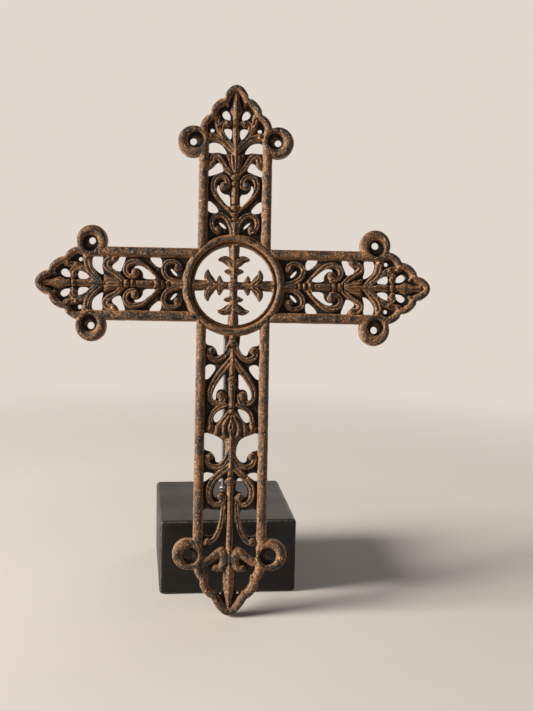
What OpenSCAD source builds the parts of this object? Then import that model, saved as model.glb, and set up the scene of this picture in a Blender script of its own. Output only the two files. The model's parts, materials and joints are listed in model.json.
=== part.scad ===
// Cast iron openwork grave cross on its display stand.
// The casting leans back on a slim steel rod that rises from a black wood block.
// +Z is up, the front of the cross faces -Y, and the origin is the middle of the block's underside.

/* [Casting] */
// Distance from the middle of the ring to the tip of the top arm
top_len = 155.3; // [140:0.1:190]
// Distance from the middle of the ring to the tip of each side arm
side_len = 152.5; // [138:0.1:188]
// Distance from the middle of the ring to the pointed foot
foot_len = 253.3; // [230:0.1:310]
// Width over the two stiles of an arm
arm_w = 56.7; // [50:0.1:66]
// Width of the rounded border that runs along every edge
border_w = 7.8; // [6.5:0.1:9.5]
// Full depth of the casting, front to back
depth = 10; // [8:0.1:14]
// Outer radius of the round lobes beside each tip
ear_r = 12.2; // [10.5:0.1:14]
// Radius of the hole through a lobe
ear_hole_r = 2.6; // [1.5:0.1:3.5]

/* [Ring] */
// Outer radius of the ring where the arms cross
ring_r = 39.2; // [36:0.1:46]
// Width of the ring
ring_w = 8.8; // [7:0.1:11]
// Radius of the boss in the middle
boss_r = 4.2; // [3.6:0.1:6]

/* [Relief] */
// Thickness of the web behind the scrolls
web_t = 4.2; // [3:0.1:6]
// Setback of the web from the back of the border
web_back = 1; // [0.6:0.1:2]
// Height of the scrolls above the back of the casting
scroll_h = 8.2; // [6.8:0.1:9.5]

/* [Stand] */
// Width of the wood block
block_w = 110; // [90:1:140]
// Depth of the wood block
block_d = 120; // [95:1:150]
// Height of the wood block
block_h = 61; // [45:1:80]
// Radius of the block's worn edges
block_edge = 3; // [1:0.5:6]
// Turn of the block against the casting, in degrees
block_turn = 5; // [0:1:15]
// Backward lean of the cross, in degrees
lean = 9.8; // [6:0.1:13]
// Distance of the pointed foot ahead of the block
foot_ahead = 43.5; // [35:0.5:60]
// Distance of the middle of the casting to the right of the rod
cross_x = 6; // [0:0.5:12]
// Distance of the rod behind the middle of the block
rod_back = 14; // [0:1:30]
// Diameter of the steel rod
rod_d = 3; // [2.5:0.1:5]
// Radius of the bend near the top of the rod
rod_bend = 6; // [5:0.5:12]
// Depth of the rod's hole in the block
rod_depth = 25; // [15:1:38]
// Clearance all round the rod in the block, the nuts and the pad
rod_fit = 0.05; // [0.02:0.01:0.1]
// Width of a nut across its flats
nut_flats = 5.5; // [5:0.1:8]
// Thickness of a nut
nut_t = 2.4; // [1.6:0.1:4]
// Gap between the two nuts
nut_gap = 2; // [0.5:0.1:4]
// Diameter of the washer under the lower nut
washer_d = 7; // [6.5:0.1:12]
// Thickness of the washer
washer_t = 0.5; // [0.5:0.1:1.5]
// Diameter of the pad between the rod and the casting
pad_d = 7.6; // [6:0.1:9]
// Thickness of the pad
pad_t = 4; // [3:0.1:7]

/* [Hidden] */

iron = "#3a2a1f";
black_wood = "#1a1a19";
steel = "#6a6a68";
rubber = "#202020";

// The ornament is drawn on a pattern bar and stretched to each arm's own width and length.
pattern_w = 56.7;
pattern_ring = 39.2;
pattern_arm = 155.3;
pattern_foot = 253.3;

border_step = 1.7;    // setback of the border's upper step, which rounds its face
border_low = 7.2;     // height of the border's lower step
web_inset = 0.8;      // setback of the web from the outline, inside the border
relief_inset = 0.5;   // setback of the scrolls from the edge of an opening
overlap = 1;          // how far the arms run into the ring
seam = 0.01;          // hair's breadth by which joined outlines are offset, to merge them into one
ring_back = 0.4;      // setback of the ring from the back of the border
foot_hole_extra = 1;  // how much wider the holes of the two lowest lobes are
rod_steps = 10;       // steps round the rod's bend
rod_sides = 32;       // sides of the rod
ring_in = ring_r - ring_w;

// Where the middle of the ring comes when the foot stands on the ground ahead of the block.
foot_y = -block_d / 2 - foot_ahead;
ring_y = foot_y + foot_len * sin(lean);
ring_z = foot_len * cos(lean);

// The pad bears on the back of the ring, low down and straight ahead of the rod.
pad_v = -sqrt(pow(ring_r - ring_w / 2, 2) - cross_x * cross_x);

// The rod's upper leg is square to the casting and ends in the pad.
rod_end = ring_back - pad_t / 2;
end_y = ring_y + pad_v * sin(lean) - rod_end * cos(lean);
end_z = ring_z + pad_v * cos(lean) + rod_end * sin(lean);
leg_len = (rod_back - rod_bend * (1 - sin(lean)) - end_y) / cos(lean);
rod_top = end_z - rod_bend * cos(lean) - leg_len * sin(lean);
nut_z = block_h + washer_t;

// Right-hand half of an arm's tip: ogee point, then two lobes, in [across, along].
tip_outline = [[0, 155.3], [4.6, 153.6], [7.6, 150.2], [9.6, 146.4], [10.4, 144.4],
    [14, 143], [17.6, 139.6], [20, 135], [20.6, 132.2], [24, 130], [27, 125.8], [28.4, 121]];
// Right-hand half of the pointed foot: three lobes, drawn from the ears down to the point.
foot_outline = [[28.4, 218.4], [23.2, 225.6], [22.6, 230.4], [20, 235.6], [15.8, 239.3],
    [13, 242], [9.2, 247.6], [4.4, 252.4], [0, 253.3]];
arm_ear = [32.6, 110.6];
foot_ear = [31.8, 206.4];

// Openings beside the stem of an arm, from the ring outwards.
arm_openings = [
    [[6.4, 43.4], [7.4, 46], [11.4, 49], [12.4, 48.2], [9, 44.4]],
    [[10, 56], [21.6, 68], [21.6, 55.6]],
    [[3.8, 70.4], [3.8, 60.6], [5.4, 60.8], [9.8, 65.6], [13.6, 71], [14.4, 75], [12.4, 78.4], [12.2, 73.6],
        [8.6, 70.2]],
    [[9, 88], [10.2, 92.6], [13, 95.2], [15.4, 93.4], [17.2, 90.4], [21.6, 88.4], [21.6, 83.6], [15.2, 85.8],
        [12, 87.2]],
    [[6.2, 101.2], [9.6, 107.4], [14.6, 110.6], [21.4, 110], [21.4, 101.4], [14, 103], [10, 102]],
    [[3.2, 121.2], [9.4, 121.4], [9, 118.2], [6.6, 113.8], [4.4, 112.4], [3.2, 114.8]],
    [[16.8, 118.2], [16.8, 121], [19.8, 121], [19.8, 118.2]],
    [[4.4, 127.6], [4.8, 132.4], [8, 135.6], [11, 133], [10.2, 129.8], [6.4, 126.8]]];

// Openings beside the stem of the long lower arm, from the ring down to the foot.
foot_openings = [
    [[5.8, 36], [22, 30], [21.4, 45.8], [15.4, 46.2], [12.2, 49.6], [11.2, 54.4], [7.4, 52.8], [4.8, 48],
        [5.6, 44]],
    [[10.2, 62.2], [21.6, 60.4], [21.6, 76]],
    [[4.6, 66.6], [10.8, 75], [14.4, 82], [15, 87], [12.2, 89], [12.4, 82.6], [9.6, 79.6], [4.8, 80.2],
        [5.4, 74]],
    [[3.8, 94.2], [11.2, 97.2], [14, 101.8], [13, 105.6], [10.2, 105.4], [7, 100.6]],
    [[6.6, 118.8], [13.4, 115.4], [21.8, 112.6], [21.8, 126.6], [15.2, 127.8], [12, 132], [11.8, 136],
        [8.2, 136.4], [4.2, 131.6], [4, 126], [5.6, 121]],
    [[11.6, 145], [21.6, 143.4], [21.6, 152.4], [16.4, 148.6]],
    [[5.8, 147], [10.6, 151.6], [13, 156.6], [13, 161.4], [11, 163.8], [9.2, 158.8], [4.6, 158.4], [4, 154]],
    [[7.6, 172], [13, 173.2], [21.8, 171], [21.8, 191], [14, 193.6], [10.6, 187.6], [8.2, 180]],
    [[3.2, 171.6], [3, 201.4], [7, 200.4], [12, 204], [16.6, 208.6], [21.4, 209], [21.4, 202.4],
        [15.8, 201.2], [10, 196.8], [6, 188.8], [4.2, 180]],
    [[4.8, 220.8], [8, 218.8], [13, 219.6], [20.6, 213.4], [21.4, 217.6], [17, 223.4], [15.8, 230],
        [11.4, 235], [6.8, 238.6], [5, 234]]];

// Scrolls of an arm: [width at the start, width at the end, route, end bulb, bulb radius].
arm_scrolls = [
    [3.4, 2.6, [[1.2, 38], [2.2, 46], [6, 52.4], [11.5, 54.6], [16.6, 52.6], [18, 47], [16, 42], [12.6, 41]],
        [12.8, 43.2], 2.6],
    [4.4, 3, [[0.6, 57], [8, 63.4], [15, 70.4], [17.4, 77], [15, 83], [10, 84.4], [5.8, 81.4], [5.4, 76.6]],
        [8.6, 76.4], 3.4],
    [3.4, 4.8, [[1.4, 86], [6.4, 91.4], [9.2, 97.4], [13.6, 99.8], [17.8, 97.4], [18.4, 92]],
        [18.2, 92.6], 2.2],
    [2.6, 3.2, [[0.6, 101], [5, 105], [9.4, 111.4], [14.6, 113.8], [22, 114.4]], [18, 114.2], 1.8],
    [2.4, 3.2, [[0.6, 102], [4.8, 108.6], [10, 115.4], [13.6, 120.4], [15, 130]], [13.8, 121], 1.6],
    [2.6, 2.4, [[8.4, 113.6], [11.4, 119], [11, 124], [8, 126.4], [5, 125]], [6.8, 124.4], 2]];

// Scrolls of the long lower arm, in the same form.
foot_scrolls = [
    [4.2, 3, [[0.6, 44], [4.4, 52], [9, 56.6], [14, 57.4], [18, 54.4], [18, 50]], [16, 50.2], 3],
    [4.4, 3, [[0.4, 56.6], [7, 65], [13.4, 73.6], [17.2, 82], [16, 88.8], [11.4, 91.2], [6.6, 89.2],
        [5.6, 85.4]], [8.4, 84.8], 3.4],
    [3, 3, [[4.6, 91.6], [12, 95], [15.6, 100.6], [16.2, 108]], [16, 106], 1.6],
    [3.8, 3, [[0.6, 127], [3.4, 134.6], [8, 139.4], [14, 139.8], [18.2, 136.4], [18.2, 131.6]],
        [16.2, 131.4], 3],
    [4.4, 3, [[0.4, 138], [7, 143.4], [13.8, 149.6], [17.2, 157], [16.2, 164.6], [11.4, 168.8], [6.4, 167.6],
        [4.6, 163.2]], [7, 162.4], 3.2],
    [3, 3, [[5, 168], [5.8, 180], [8.2, 189.6], [12.6, 196.4], [18.6, 198]], [17.4, 196.4], 2.8],
    [3.6, 3.4, [[1.4, 205], [4.6, 202.6], [8.4, 203.4], [13.6, 207.6], [18.6, 211.6], [23, 212]],
        [20, 212], 1.6],
    [3, 2.6, [[5.8, 204], [3.2, 208], [3.4, 213], [6.4, 216], [10, 216.4]], [9.8, 216.2], 1.8]];

// The stem of an arm: [width, where it ends].
arm_stem = [4.4, 148];
foot_stem = [4.8, 248];
// Beads and knops on the stem: [distance along the stem, radius].
arm_beads = [[58.5, 3.2], [61.8, 2.6], [81.2, 2.8], [84.6, 3.3], [124.4, 2.7], [128.6, 2.4]];
foot_beads = [[44.6, 3.6], [72.6, 3.5], [97, 2.8], [150.2, 3.8], [203.4, 2.6]];

// The cross inside the ring: width of a bar at the boss and at the ring, heights of its side and its ridge.
bar_w = [5.6, 9];
bar_low = 5;
bar_ridge = 7.6;
boss_z = 5.4;
pattern_ring_in = 30.4;
// Leaves on a bar: [height, right-hand outline].
leaves = [[6.2, [[1, 12.6], [6, 15.2], [8.6, 17.8], [13.4, 19.4], [10, 22.6], [5.4, 23.2], [1, 21]]],
    [5.6, [[1, 6.8], [4.6, 8.4], [8.6, 10.6], [6, 13], [1, 13]]]];

// ---- Plane geometry ----

// One pass of corner cutting round a closed loop.
function cut_corners(p) = [
    for (i = [0:len(p) - 1], k = [0.25, 0.75]) p[i] * (1 - k) + p[(i + 1) % len(p)] * k];

// One pass of corner cutting along an open route, which keeps both ends.
function ease(p) = concat([p[0]], [
    for (i = [0:len(p) - 2], k = [0.25, 0.75]) p[i] * (1 - k) + p[i + 1] * k], [p[len(p) - 1]]);

// Direction of a route at one of its points.
function heading(p, i) =
    let (d = p[min(i + 1, len(p) - 1)] - p[max(i - 1, 0)]) d / norm(d);

// Outline of a band whose width runs from w0 to w1 along a route.
function band(p, w0, w1) = let (
    n = len(p) - 1,
    side = [for (i = [0:n]) let (h = heading(p, i)) [-h.y, h.x] * (w0 + (w1 - w0) * i / n) / 2])
    concat([for (i = [0:n]) p[i] + side[i]], [for (i = [n:-1:0]) p[i] - side[i]]);

// Moves a pattern point to an arm of the given length; the pattern's own length is `full`.
function fit(p, length, full) = [p.x * arm_w / pattern_w,
    ring_r + (p.y - pattern_ring) * (length - ring_r) / (full - pattern_ring)];
function fit_all(points, length, full) = [for (p = points) fit(p, length, full)];

module both_sides() {
    children();
    mirror([1, 0]) children();
}

// Calls its children once for each short arm, with $length set to that arm's length.
module each_arm() {
    for (side = [0, 1, -1]) {
        $length = side == 0 ? top_len : side_len;
        rotate(-90 * side) children();
    }
}

// ---- Outline ----

module arm_silhouette(length, full, outline, ear) {
    lobe_end = fit(ear, length, full);
    translate([-arm_w / 2, 0]) square([arm_w, lobe_end.y]);
    both_sides() {
        translate(lobe_end) circle(r = ear_r, $fn = 24);
        polygon(concat([[0, 0], [0, length]], fit_all(outline, length, full), [[arm_w / 2, 0]]));
    }
}

module silhouette() {
    each_arm() arm_silhouette($length, pattern_arm, tip_outline, arm_ear);
    mirror([0, 1]) foot_silhouette();
    circle(r = ring_r, $fn = 72);
}

module foot_silhouette() {
    lobe_end = fit(foot_ear, foot_len, pattern_foot);
    translate([-arm_w / 2, 0]) square([arm_w, lobe_end.y + ear_r]);
    both_sides() {
        translate(lobe_end) circle(r = ear_r, $fn = 24);
        polygon(concat([[0, 0], [arm_w / 2, 0]], fit_all(foot_outline, foot_len, pattern_foot)));
    }
}

// Everything that the web leaves open, apart from the space inside the ring.
module openings() {
    each_arm() both_sides() {
        for (p = arm_openings) polygon(cut_corners(fit_all(p, $length, pattern_arm)));
        translate(fit(arm_ear, $length, pattern_arm)) circle(r = ear_hole_r, $fn = 16);
    }
    mirror([0, 1]) both_sides() {
        for (p = foot_openings) polygon(cut_corners(fit_all(p, foot_len, pattern_foot)));
        translate(fit(foot_ear, foot_len, pattern_foot)) circle(r = ear_hole_r + foot_hole_extra, $fn = 16);
    }
}

// ---- Casting, built lying on its back: X across, Y up the cross, Z towards the front ----

// The border steps inwards as it rises, so that its face is rounded.
module border() {
    for (level = [0, 1])
        translate([0, 0, level * ring_back])
            linear_extrude([border_low, depth - ring_back][level])
                difference() {
                    offset(delta = -seam - level * border_step) silhouette();
                    offset(delta = level * border_step - border_w) silhouette();
                    circle(r = ring_r - overlap, $fn = 48);
                }
}

module web_shape() {
    difference() {
        offset(delta = -web_inset) silhouette();
        openings();
        circle(r = ring_r - 2 * overlap, $fn = 48);
    }
}

module web() {
    translate([0, 0, web_back]) linear_extrude(web_t) offset(delta = seam) web_shape();
}

// A scroll's band and its end bulb.
module scroll(s, length, full) {
    polygon(band(ease(fit_all(s[2], length, full)), s[0], s[1]));
    translate(fit(s[3], length, full)) circle(r = s[4], $fn = 12);
}

// The stem of an arm with its beads, from the ring to the end that is given.
module stem(w, end, beads, length, full) {
    top = fit([0, end], length, full).y;
    translate([-w / 2, ring_r - overlap]) square([w, top - ring_r + overlap]);
    for (b = beads) translate(fit([0, b[0]], length, full)) circle(r = b[1], $fn = 12);
}

module scroll_shapes() {
    each_arm() {
        both_sides() for (s = arm_scrolls) scroll(s, $length, pattern_arm);
        stem(arm_stem[0], arm_stem[1], arm_beads, $length, pattern_arm);
    }
    mirror([0, 1]) {
        both_sides() for (s = foot_scrolls) scroll(s, foot_len, pattern_foot);
        stem(foot_stem[0], foot_stem[1], foot_beads, foot_len, pattern_foot);
    }
}

module scrolls() {
    bottom = web_back + web_t / 2;
    translate([0, 0, bottom]) linear_extrude(scroll_h - bottom)
        offset(delta = seam) intersection() {
            scroll_shapes();
            offset(delta = -relief_inset) web_shape();
        }
}

// The ring has a moulded face with a fine bead inside.
module ring() {
    rotate_extrude($fn = 96) polygon([[ring_in, ring_back], [ring_r, ring_back], [ring_r, border_low],
        [ring_r - 1.6, depth - 1], [ring_r - 3.4, depth], [ring_in + 3, depth - 0.6],
        [ring_in + 2.2, depth - 1.8], [ring_in + 1, depth - 1.6], [ring_in, border_low]]);
}

// One of the four ridged bars inside the ring, with its two pairs of pointed leaves.
module fleur() {
    reach = ring_in + overlap;
    translate([0, 0, web_back]) {
        linear_extrude(bar_low) polygon([[-bar_w[0] / 2, 0], [bar_w[0] / 2, 0], [bar_w[1] / 2, reach],
            [-bar_w[1] / 2, reach]]);
        rotate([-90, 0, 0]) linear_extrude(reach) polygon([[-bar_w[0] / 2 + 0.4, -0.5],
            [bar_w[0] / 2 - 0.4, -0.5], [bar_w[0] / 2 - 0.4, -bar_low], [0, -bar_ridge],
            [-bar_w[0] / 2 + 0.4, -bar_low]]);
        for (side = [0, 1], leaf = leaves)
            mirror([side, 0, 0]) linear_extrude(leaf[0])
                polygon(cut_corners([for (p = leaf[1]) p * ring_in / pattern_ring_in]));
    }
}

module casting() {
    border();
    web();
    scrolls();
    ring();
    for (turn = [0:3]) rotate(90 * turn) fleur();
    translate([0, 0, boss_z]) sphere(r = boss_r, $fn = 48);
}

module cross() {
    color(iron) translate([cross_x, ring_y, ring_z]) rotate([90 - lean, 0, 0]) casting();
}

// ---- Stand ----

// A rectangle with rounded corners, centred.
module rounded(w, h) {
    offset(r = block_edge, $fn = 24) square([w - 2 * block_edge, h - 2 * block_edge], center = true);
}

module block() {
    color(black_wood) difference() {
        translate([0, 0, block_h / 2]) rotate(block_turn) intersection() {
            linear_extrude(block_h, center = true) rounded(block_w, block_d);
            rotate([90, 0, 0]) linear_extrude(block_d, center = true) rounded(block_w, block_h);
            rotate([90, 0, 90]) linear_extrude(block_w, center = true) rounded(block_d, block_h);
        }
        translate([0, rod_back, block_h - rod_depth])
            cylinder(d = rod_d + 2 * rod_fit, h = rod_depth + 1, $fn = 48);
    }
}

// The rod is swept through rings of points: up from the block, round the bend, and along to the pad.
module rod() {
    stations = concat([[rod_back, block_h - rod_depth, 0]], [
        for (i = [0:rod_steps]) let (a = (90 - lean) * i / rod_steps)
            [rod_back - rod_bend * (1 - cos(a)), rod_top + rod_bend * sin(a), a]],
        [[end_y, end_z, 90 - lean]]);
    last = len(stations) - 1;
    points = [for (s = stations, k = [0:rod_sides - 1])
        let (x = cos(360 * k / rod_sides) * rod_d / 2, y = sin(360 * k / rod_sides) * rod_d / 2)
            [x, s[0] + y * cos(s[2]), s[1] + y * sin(s[2])]];
    walls = [for (i = [0:last - 1], k = [0:rod_sides - 1]) let (n = (k + 1) % rod_sides)
        [i * rod_sides + k, (i + 1) * rod_sides + k, (i + 1) * rod_sides + n, i * rod_sides + n]];
    ends = [[for (k = [0:rod_sides - 1]) k], [for (k = [rod_sides - 1:-1:0]) last * rod_sides + k]];
    color(steel) polyhedron(points, concat(walls, ends));
}

module washer() {
    color(steel) translate([0, rod_back, block_h]) difference() {
        cylinder(d = washer_d, h = washer_t, $fn = 48);
        translate([0, 0, -1]) cylinder(d = rod_d + 2 * rod_fit, h = washer_t + 2, $fn = 48);
    }
}

module nut(z) {
    color(steel) translate([0, rod_back, z]) difference() {
        cylinder(d = nut_flats / cos(30), h = nut_t, $fn = 6);
        translate([0, 0, -1]) cylinder(d = rod_d + 2 * rod_fit, h = nut_t + 2, $fn = 48);
    }
}

module nut_lower() {
    nut(nut_z);
}

module nut_upper() {
    nut(nut_z + nut_t + nut_gap);
}

// The pad is socketed on the rod's end and bears flat on the back of the casting.
module pad() {
    color(rubber) translate([0, ring_y, ring_z]) rotate([90 - lean, 0, 0])
        translate([0, pad_v, ring_back - pad_t]) difference() {
            cylinder(d = pad_d, h = pad_t, $fn = 48);
            translate([0, 0, -1]) cylinder(d = rod_d + 2 * rod_fit, h = pad_t / 2 + 1, $fn = 48);
        }
}

cross();
block();
rod();
washer();
nut_lower();
nut_upper();
pad();
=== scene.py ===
"""Looks of a cast iron openwork grave cross that leans on a steel rod in a black wood block.

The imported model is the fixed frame. The casting is sculpted from height fields in its own flat frame
(x across, y up the cross, z towards its front, in millimetres) and then leaned back into its place.
"""

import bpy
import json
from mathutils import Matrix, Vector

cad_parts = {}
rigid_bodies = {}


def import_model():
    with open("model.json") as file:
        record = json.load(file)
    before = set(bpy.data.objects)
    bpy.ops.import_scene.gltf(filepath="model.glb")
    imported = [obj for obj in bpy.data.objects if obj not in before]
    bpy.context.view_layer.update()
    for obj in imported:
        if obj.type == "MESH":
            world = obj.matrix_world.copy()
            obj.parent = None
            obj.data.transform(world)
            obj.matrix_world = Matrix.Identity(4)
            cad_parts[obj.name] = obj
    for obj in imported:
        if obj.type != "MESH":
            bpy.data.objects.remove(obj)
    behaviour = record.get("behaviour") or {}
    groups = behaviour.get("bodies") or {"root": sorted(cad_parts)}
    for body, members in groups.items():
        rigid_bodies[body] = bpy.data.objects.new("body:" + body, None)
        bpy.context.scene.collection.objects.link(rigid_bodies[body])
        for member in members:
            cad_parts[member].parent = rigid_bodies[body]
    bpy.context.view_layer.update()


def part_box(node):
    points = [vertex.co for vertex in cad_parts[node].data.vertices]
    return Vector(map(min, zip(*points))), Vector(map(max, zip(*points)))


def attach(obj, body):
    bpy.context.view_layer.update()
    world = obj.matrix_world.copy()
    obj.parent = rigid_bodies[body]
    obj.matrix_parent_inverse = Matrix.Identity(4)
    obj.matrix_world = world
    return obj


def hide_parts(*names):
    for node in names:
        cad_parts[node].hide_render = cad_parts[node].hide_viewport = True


bl_info = {
    "name": "Cast Iron Grave Cross",
    "version": (1, 0, 0),
    "blender": (4, 5, 0),
    "location": "View3D > Sidebar > Grave Cross",
    "description": "Builds the finished casting, its stand and the stage around the packed frame",
    "category": "Add Mesh",
}

import json
from collections import namedtuple
from contextlib import contextmanager
from math import cos, pi, radians, sin, tan

import bmesh
import bpy
import numpy as np
import openvdb
from bpy.props import FloatProperty, FloatVectorProperty, IntProperty, PointerProperty
from mathutils import Matrix, Vector

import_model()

MM = 0.001

# ---- Pattern of the casting, in millimetres: [across, along from the middle of the ring] ----

PATTERN_RING = 39.2
PATTERN_ARM = 155.3
PATTERN_FOOT = 253.3
HALF_BAR = 28.35

TIP_OUTLINE = [(0, 155.3), (4.6, 153.6), (7.6, 150.2), (9.6, 146.4), (10.4, 144.4), (14, 143),
               (17.6, 139.6), (20, 135), (20.6, 132.2), (24, 130), (27, 125.8), (28.4, 121)]
FOOT_OUTLINE = [(28.4, 218.4), (23.2, 225.6), (22.6, 230.4), (20, 235.6), (15.8, 239.3), (13, 242),
                (9.2, 247.6), (4.4, 252.4), (0, 253.3)]
ARM_EAR = (32.6, 110.6)
FOOT_EAR = (31.8, 206.4)

ARM_OPENINGS = [
    [(6.4, 43.4), (7.4, 46), (11.4, 49), (12.4, 48.2), (9, 44.4)],
    [(10, 56), (21.6, 68), (21.6, 55.6)],
    [(3.8, 70.4), (3.8, 60.6), (5.4, 60.8), (9.8, 65.6), (13.6, 71), (14.4, 75), (12.4, 78.4),
     (12.2, 73.6), (8.6, 70.2)],
    [(9, 88), (10.2, 92.6), (13, 95.2), (15.4, 93.4), (17.2, 90.4), (21.6, 88.4), (21.6, 83.6),
     (15.2, 85.8), (12, 87.2)],
    [(6.2, 101.2), (9.6, 107.4), (14.6, 110.6), (21.4, 110), (21.4, 101.4), (14, 103), (10, 102)],
    [(3.2, 121.2), (9.4, 121.4), (9, 118.2), (6.6, 113.8), (4.4, 112.4), (3.2, 114.8)],
    [(16.8, 118.2), (16.8, 121), (19.8, 121), (19.8, 118.2)],
    [(4.4, 127.6), (4.8, 132.4), (8, 135.6), (11, 133), (10.2, 129.8), (6.4, 126.8)],
]
FOOT_OPENINGS = [
    [(5.8, 36), (22, 30), (21.4, 45.8), (15.4, 46.2), (12.2, 49.6), (11.2, 54.4), (7.4, 52.8),
     (4.8, 48), (5.6, 44)],
    [(10.2, 62.2), (21.6, 60.4), (21.6, 76)],
    [(4.6, 66.6), (10.8, 75), (14.4, 82), (15, 87), (12.2, 89), (12.4, 82.6), (9.6, 79.6),
     (4.8, 80.2), (5.4, 74)],
    [(3.8, 94.2), (11.2, 97.2), (14, 101.8), (13, 105.6), (10.2, 105.4), (7, 100.6)],
    [(6.6, 118.8), (13.4, 115.4), (21.8, 112.6), (21.8, 126.6), (15.2, 127.8), (12, 132),
     (11.8, 136), (8.2, 136.4), (4.2, 131.6), (4, 126), (5.6, 121)],
    [(11.6, 145), (21.6, 143.4), (21.6, 152.4), (16.4, 148.6)],
    [(5.8, 147), (10.6, 151.6), (13, 156.6), (13, 161.4), (11, 163.8), (9.2, 158.8), (4.6, 158.4),
     (4, 154)],
    [(7.6, 172), (13, 173.2), (21.8, 171), (21.8, 191), (14, 193.6), (10.6, 187.6), (8.2, 180)],
    [(3.2, 171.6), (3, 201.4), (7, 200.4), (12, 204), (16.6, 208.6), (21.4, 209), (21.4, 202.4),
     (15.8, 201.2), (10, 196.8), (6, 188.8), (4.2, 180)],
    [(4.8, 220.8), (8, 218.8), (13, 219.6), (20.6, 213.4), (21.4, 217.6), (17, 223.4), (15.8, 230),
     (11.4, 235), (6.8, 238.6), (5, 234)],
]

# Scrolls: (width at the start, width at the end, route, end bulb, bulb radius).
ARM_SCROLLS = [
    (3.4, 2.6, [(1.2, 38), (2.2, 46), (6, 52.4), (11.5, 54.6), (16.6, 52.6), (18, 47), (16, 42),
                (12.6, 41)], (12.8, 43.2), 2.6),
    (4.4, 3, [(0.6, 57), (8, 63.4), (15, 70.4), (17.4, 77), (15, 83), (10, 84.4), (5.8, 81.4),
              (5.4, 76.6)], (8.6, 76.4), 3.4),
    (3, 4.6, [(2.8, 86), (8, 91), (11.2, 97), (14.8, 100.2), (18.2, 97.6), (18.6, 92.2)],
     (18.3, 92.8), 2.2),
    (3.2, 5, [(1.4, 103.4), (5, 107), (9.4, 111.6), (14.6, 113.9), (22, 114.6)], (19, 114.4), 2.2),
    (3, 3.8, [(1.2, 105), (5.4, 110.4), (10.2, 115.8), (13.6, 120.4), (15, 130)], (14, 122), 1.8),
    (3.4, 3, [(8.4, 113.6), (11.4, 119), (11, 124), (8, 126.4), (5, 125)], (6.8, 124.2), 2.4),
]
FOOT_SCROLLS = [
    (4.2, 3, [(0.6, 44), (4.4, 52), (9, 56.6), (14, 57.4), (18, 54.4), (18, 50)], (16, 50.2), 3),
    (4.4, 3, [(0.4, 56.6), (7, 65), (13.4, 73.6), (17.2, 82), (16, 88.8), (11.4, 91.2), (6.6, 89.2),
              (5.6, 85.4)], (8.4, 84.8), 3.4),
    (3, 3, [(4.6, 91.6), (12, 95), (15.6, 100.6), (16.2, 108)], (16, 106), 1.6),
    (3.8, 3, [(0.6, 127), (3.4, 134.6), (8, 139.4), (14, 139.8), (18.2, 136.4), (18.2, 131.6)],
     (16.2, 131.4), 3),
    (4.4, 3, [(0.4, 138), (7, 143.4), (13.8, 149.6), (17.2, 157), (16.2, 164.6), (11.4, 168.8),
              (6.4, 167.6), (4.6, 163.2)], (7, 162.4), 3.2),
    (3, 3, [(5, 168), (5.8, 180), (8.2, 189.6), (12.6, 196.4), (18.6, 198)], (17.4, 196.4), 2.8),
]
# Plain rounded bands, in the same form: cusps of the tip, and the bracket over the pointed foot.
ARM_ROLLS = [
    (4.6, 1.8, [(11, 144.4), (8.6, 141.2), (6.6, 138.6)], (6.6, 138.6), 1.2),
    (4.6, 2, [(21, 132.4), (17.4, 130), (14.6, 128.6)], (14.6, 128.6), 1.3),
]
FOOT_ROLLS = [
    (5.6, 6.6, [(25, 213.8), (20.6, 213), (16.2, 210), (11.6, 206.6), (7.6, 204.6), (4.6, 205.4),
                (3.4, 208.4)], (5.6, 206), 3.2),
    (6.4, 4.6, [(4.6, 205.6), (3.5, 209.4), (3.9, 213.4), (6.4, 217), (9.8, 217.9)], (10, 217), 2.9),
    (4.6, 2.6, [(22.6, 224.6), (19.4, 224), (17.4, 223)], (17.4, 223), 1.6),
    (4.6, 2.4, [(14.6, 238.6), (12.4, 236.6), (11, 235.2)], (11, 235.2), 1.5),
]
# Where the shaped end of an arm begins, and how wide the border is round it.
ARM_END = ((112, 121), 5.9)
FOOT_END = ((214, 222), 7)
# Notches between the lobes of the outline.
ARM_NOTCHES = [(10.2, 144.8), (21, 132.2)]
FOOT_NOTCHES = [(14.8, 240.4), (23.6, 226.8)]
# Round hollows in the shaped end of an arm: (middle, radius).
ARM_CUPS = [((0, 144.6), 4.6), ((9.4, 133.6), 4.8), ((17.4, 121.4), 4.2)]

# Stems: (width, where it ends); beads and knops on them: (distance along, radius).
ARM_STEM = (5, 148)
FOOT_STEM = (4.8, 248)
ARM_BEADS = [(51.2, 2.7), (55, 3.2), (59.2, 3.5), (78.6, 3.2), (82.9, 3.5), (124.4, 2.8)]
FOOT_BEADS = [(44.6, 3.6), (72.6, 3.5), (97, 2.8), (150.4, 4.4)]
# Long shapes on the stem that swell and taper: (start, end, half width at the start, middle and end).
ARM_SPEARS = [(127, 149, 0.8, 4.6, 0.2)]
FOOT_SPEARS = [(117, 135, 5.2, 4.0, 2.0), (215.5, 234, 4.4, 4.3, 3.7), (234, 246.5, 3.7, 2.9, 0.3)]
# Ribbed shells: (apex along the stem, angle between ribs in radians, sway of the ribs, outline).
ARM_SHELL = (75, 0.115, 0.05, [
    (0, 86.2), (3.4, 87.2), (4.6, 92), (6, 97.4), (7.4, 100.8), (4, 101), (0, 101)])
FOOT_SHELL = (91, 0.25, 0.3, [
    (0, 95), (3.4, 96.5), (7, 101.6), (10.4, 106.6), (14.4, 107.2), (19.4, 107.4), (20.2, 111), (14, 114.8),
    (8, 117.6), (0, 119)])

# Lobes: radius, radius of the pocket, and how far the pocket lies off the lobe's middle.
EAR_RADIUS = 12.2
EAR_POCKET = 6.4
POCKET_SHIFT = (-2.1, 1.2)

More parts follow.
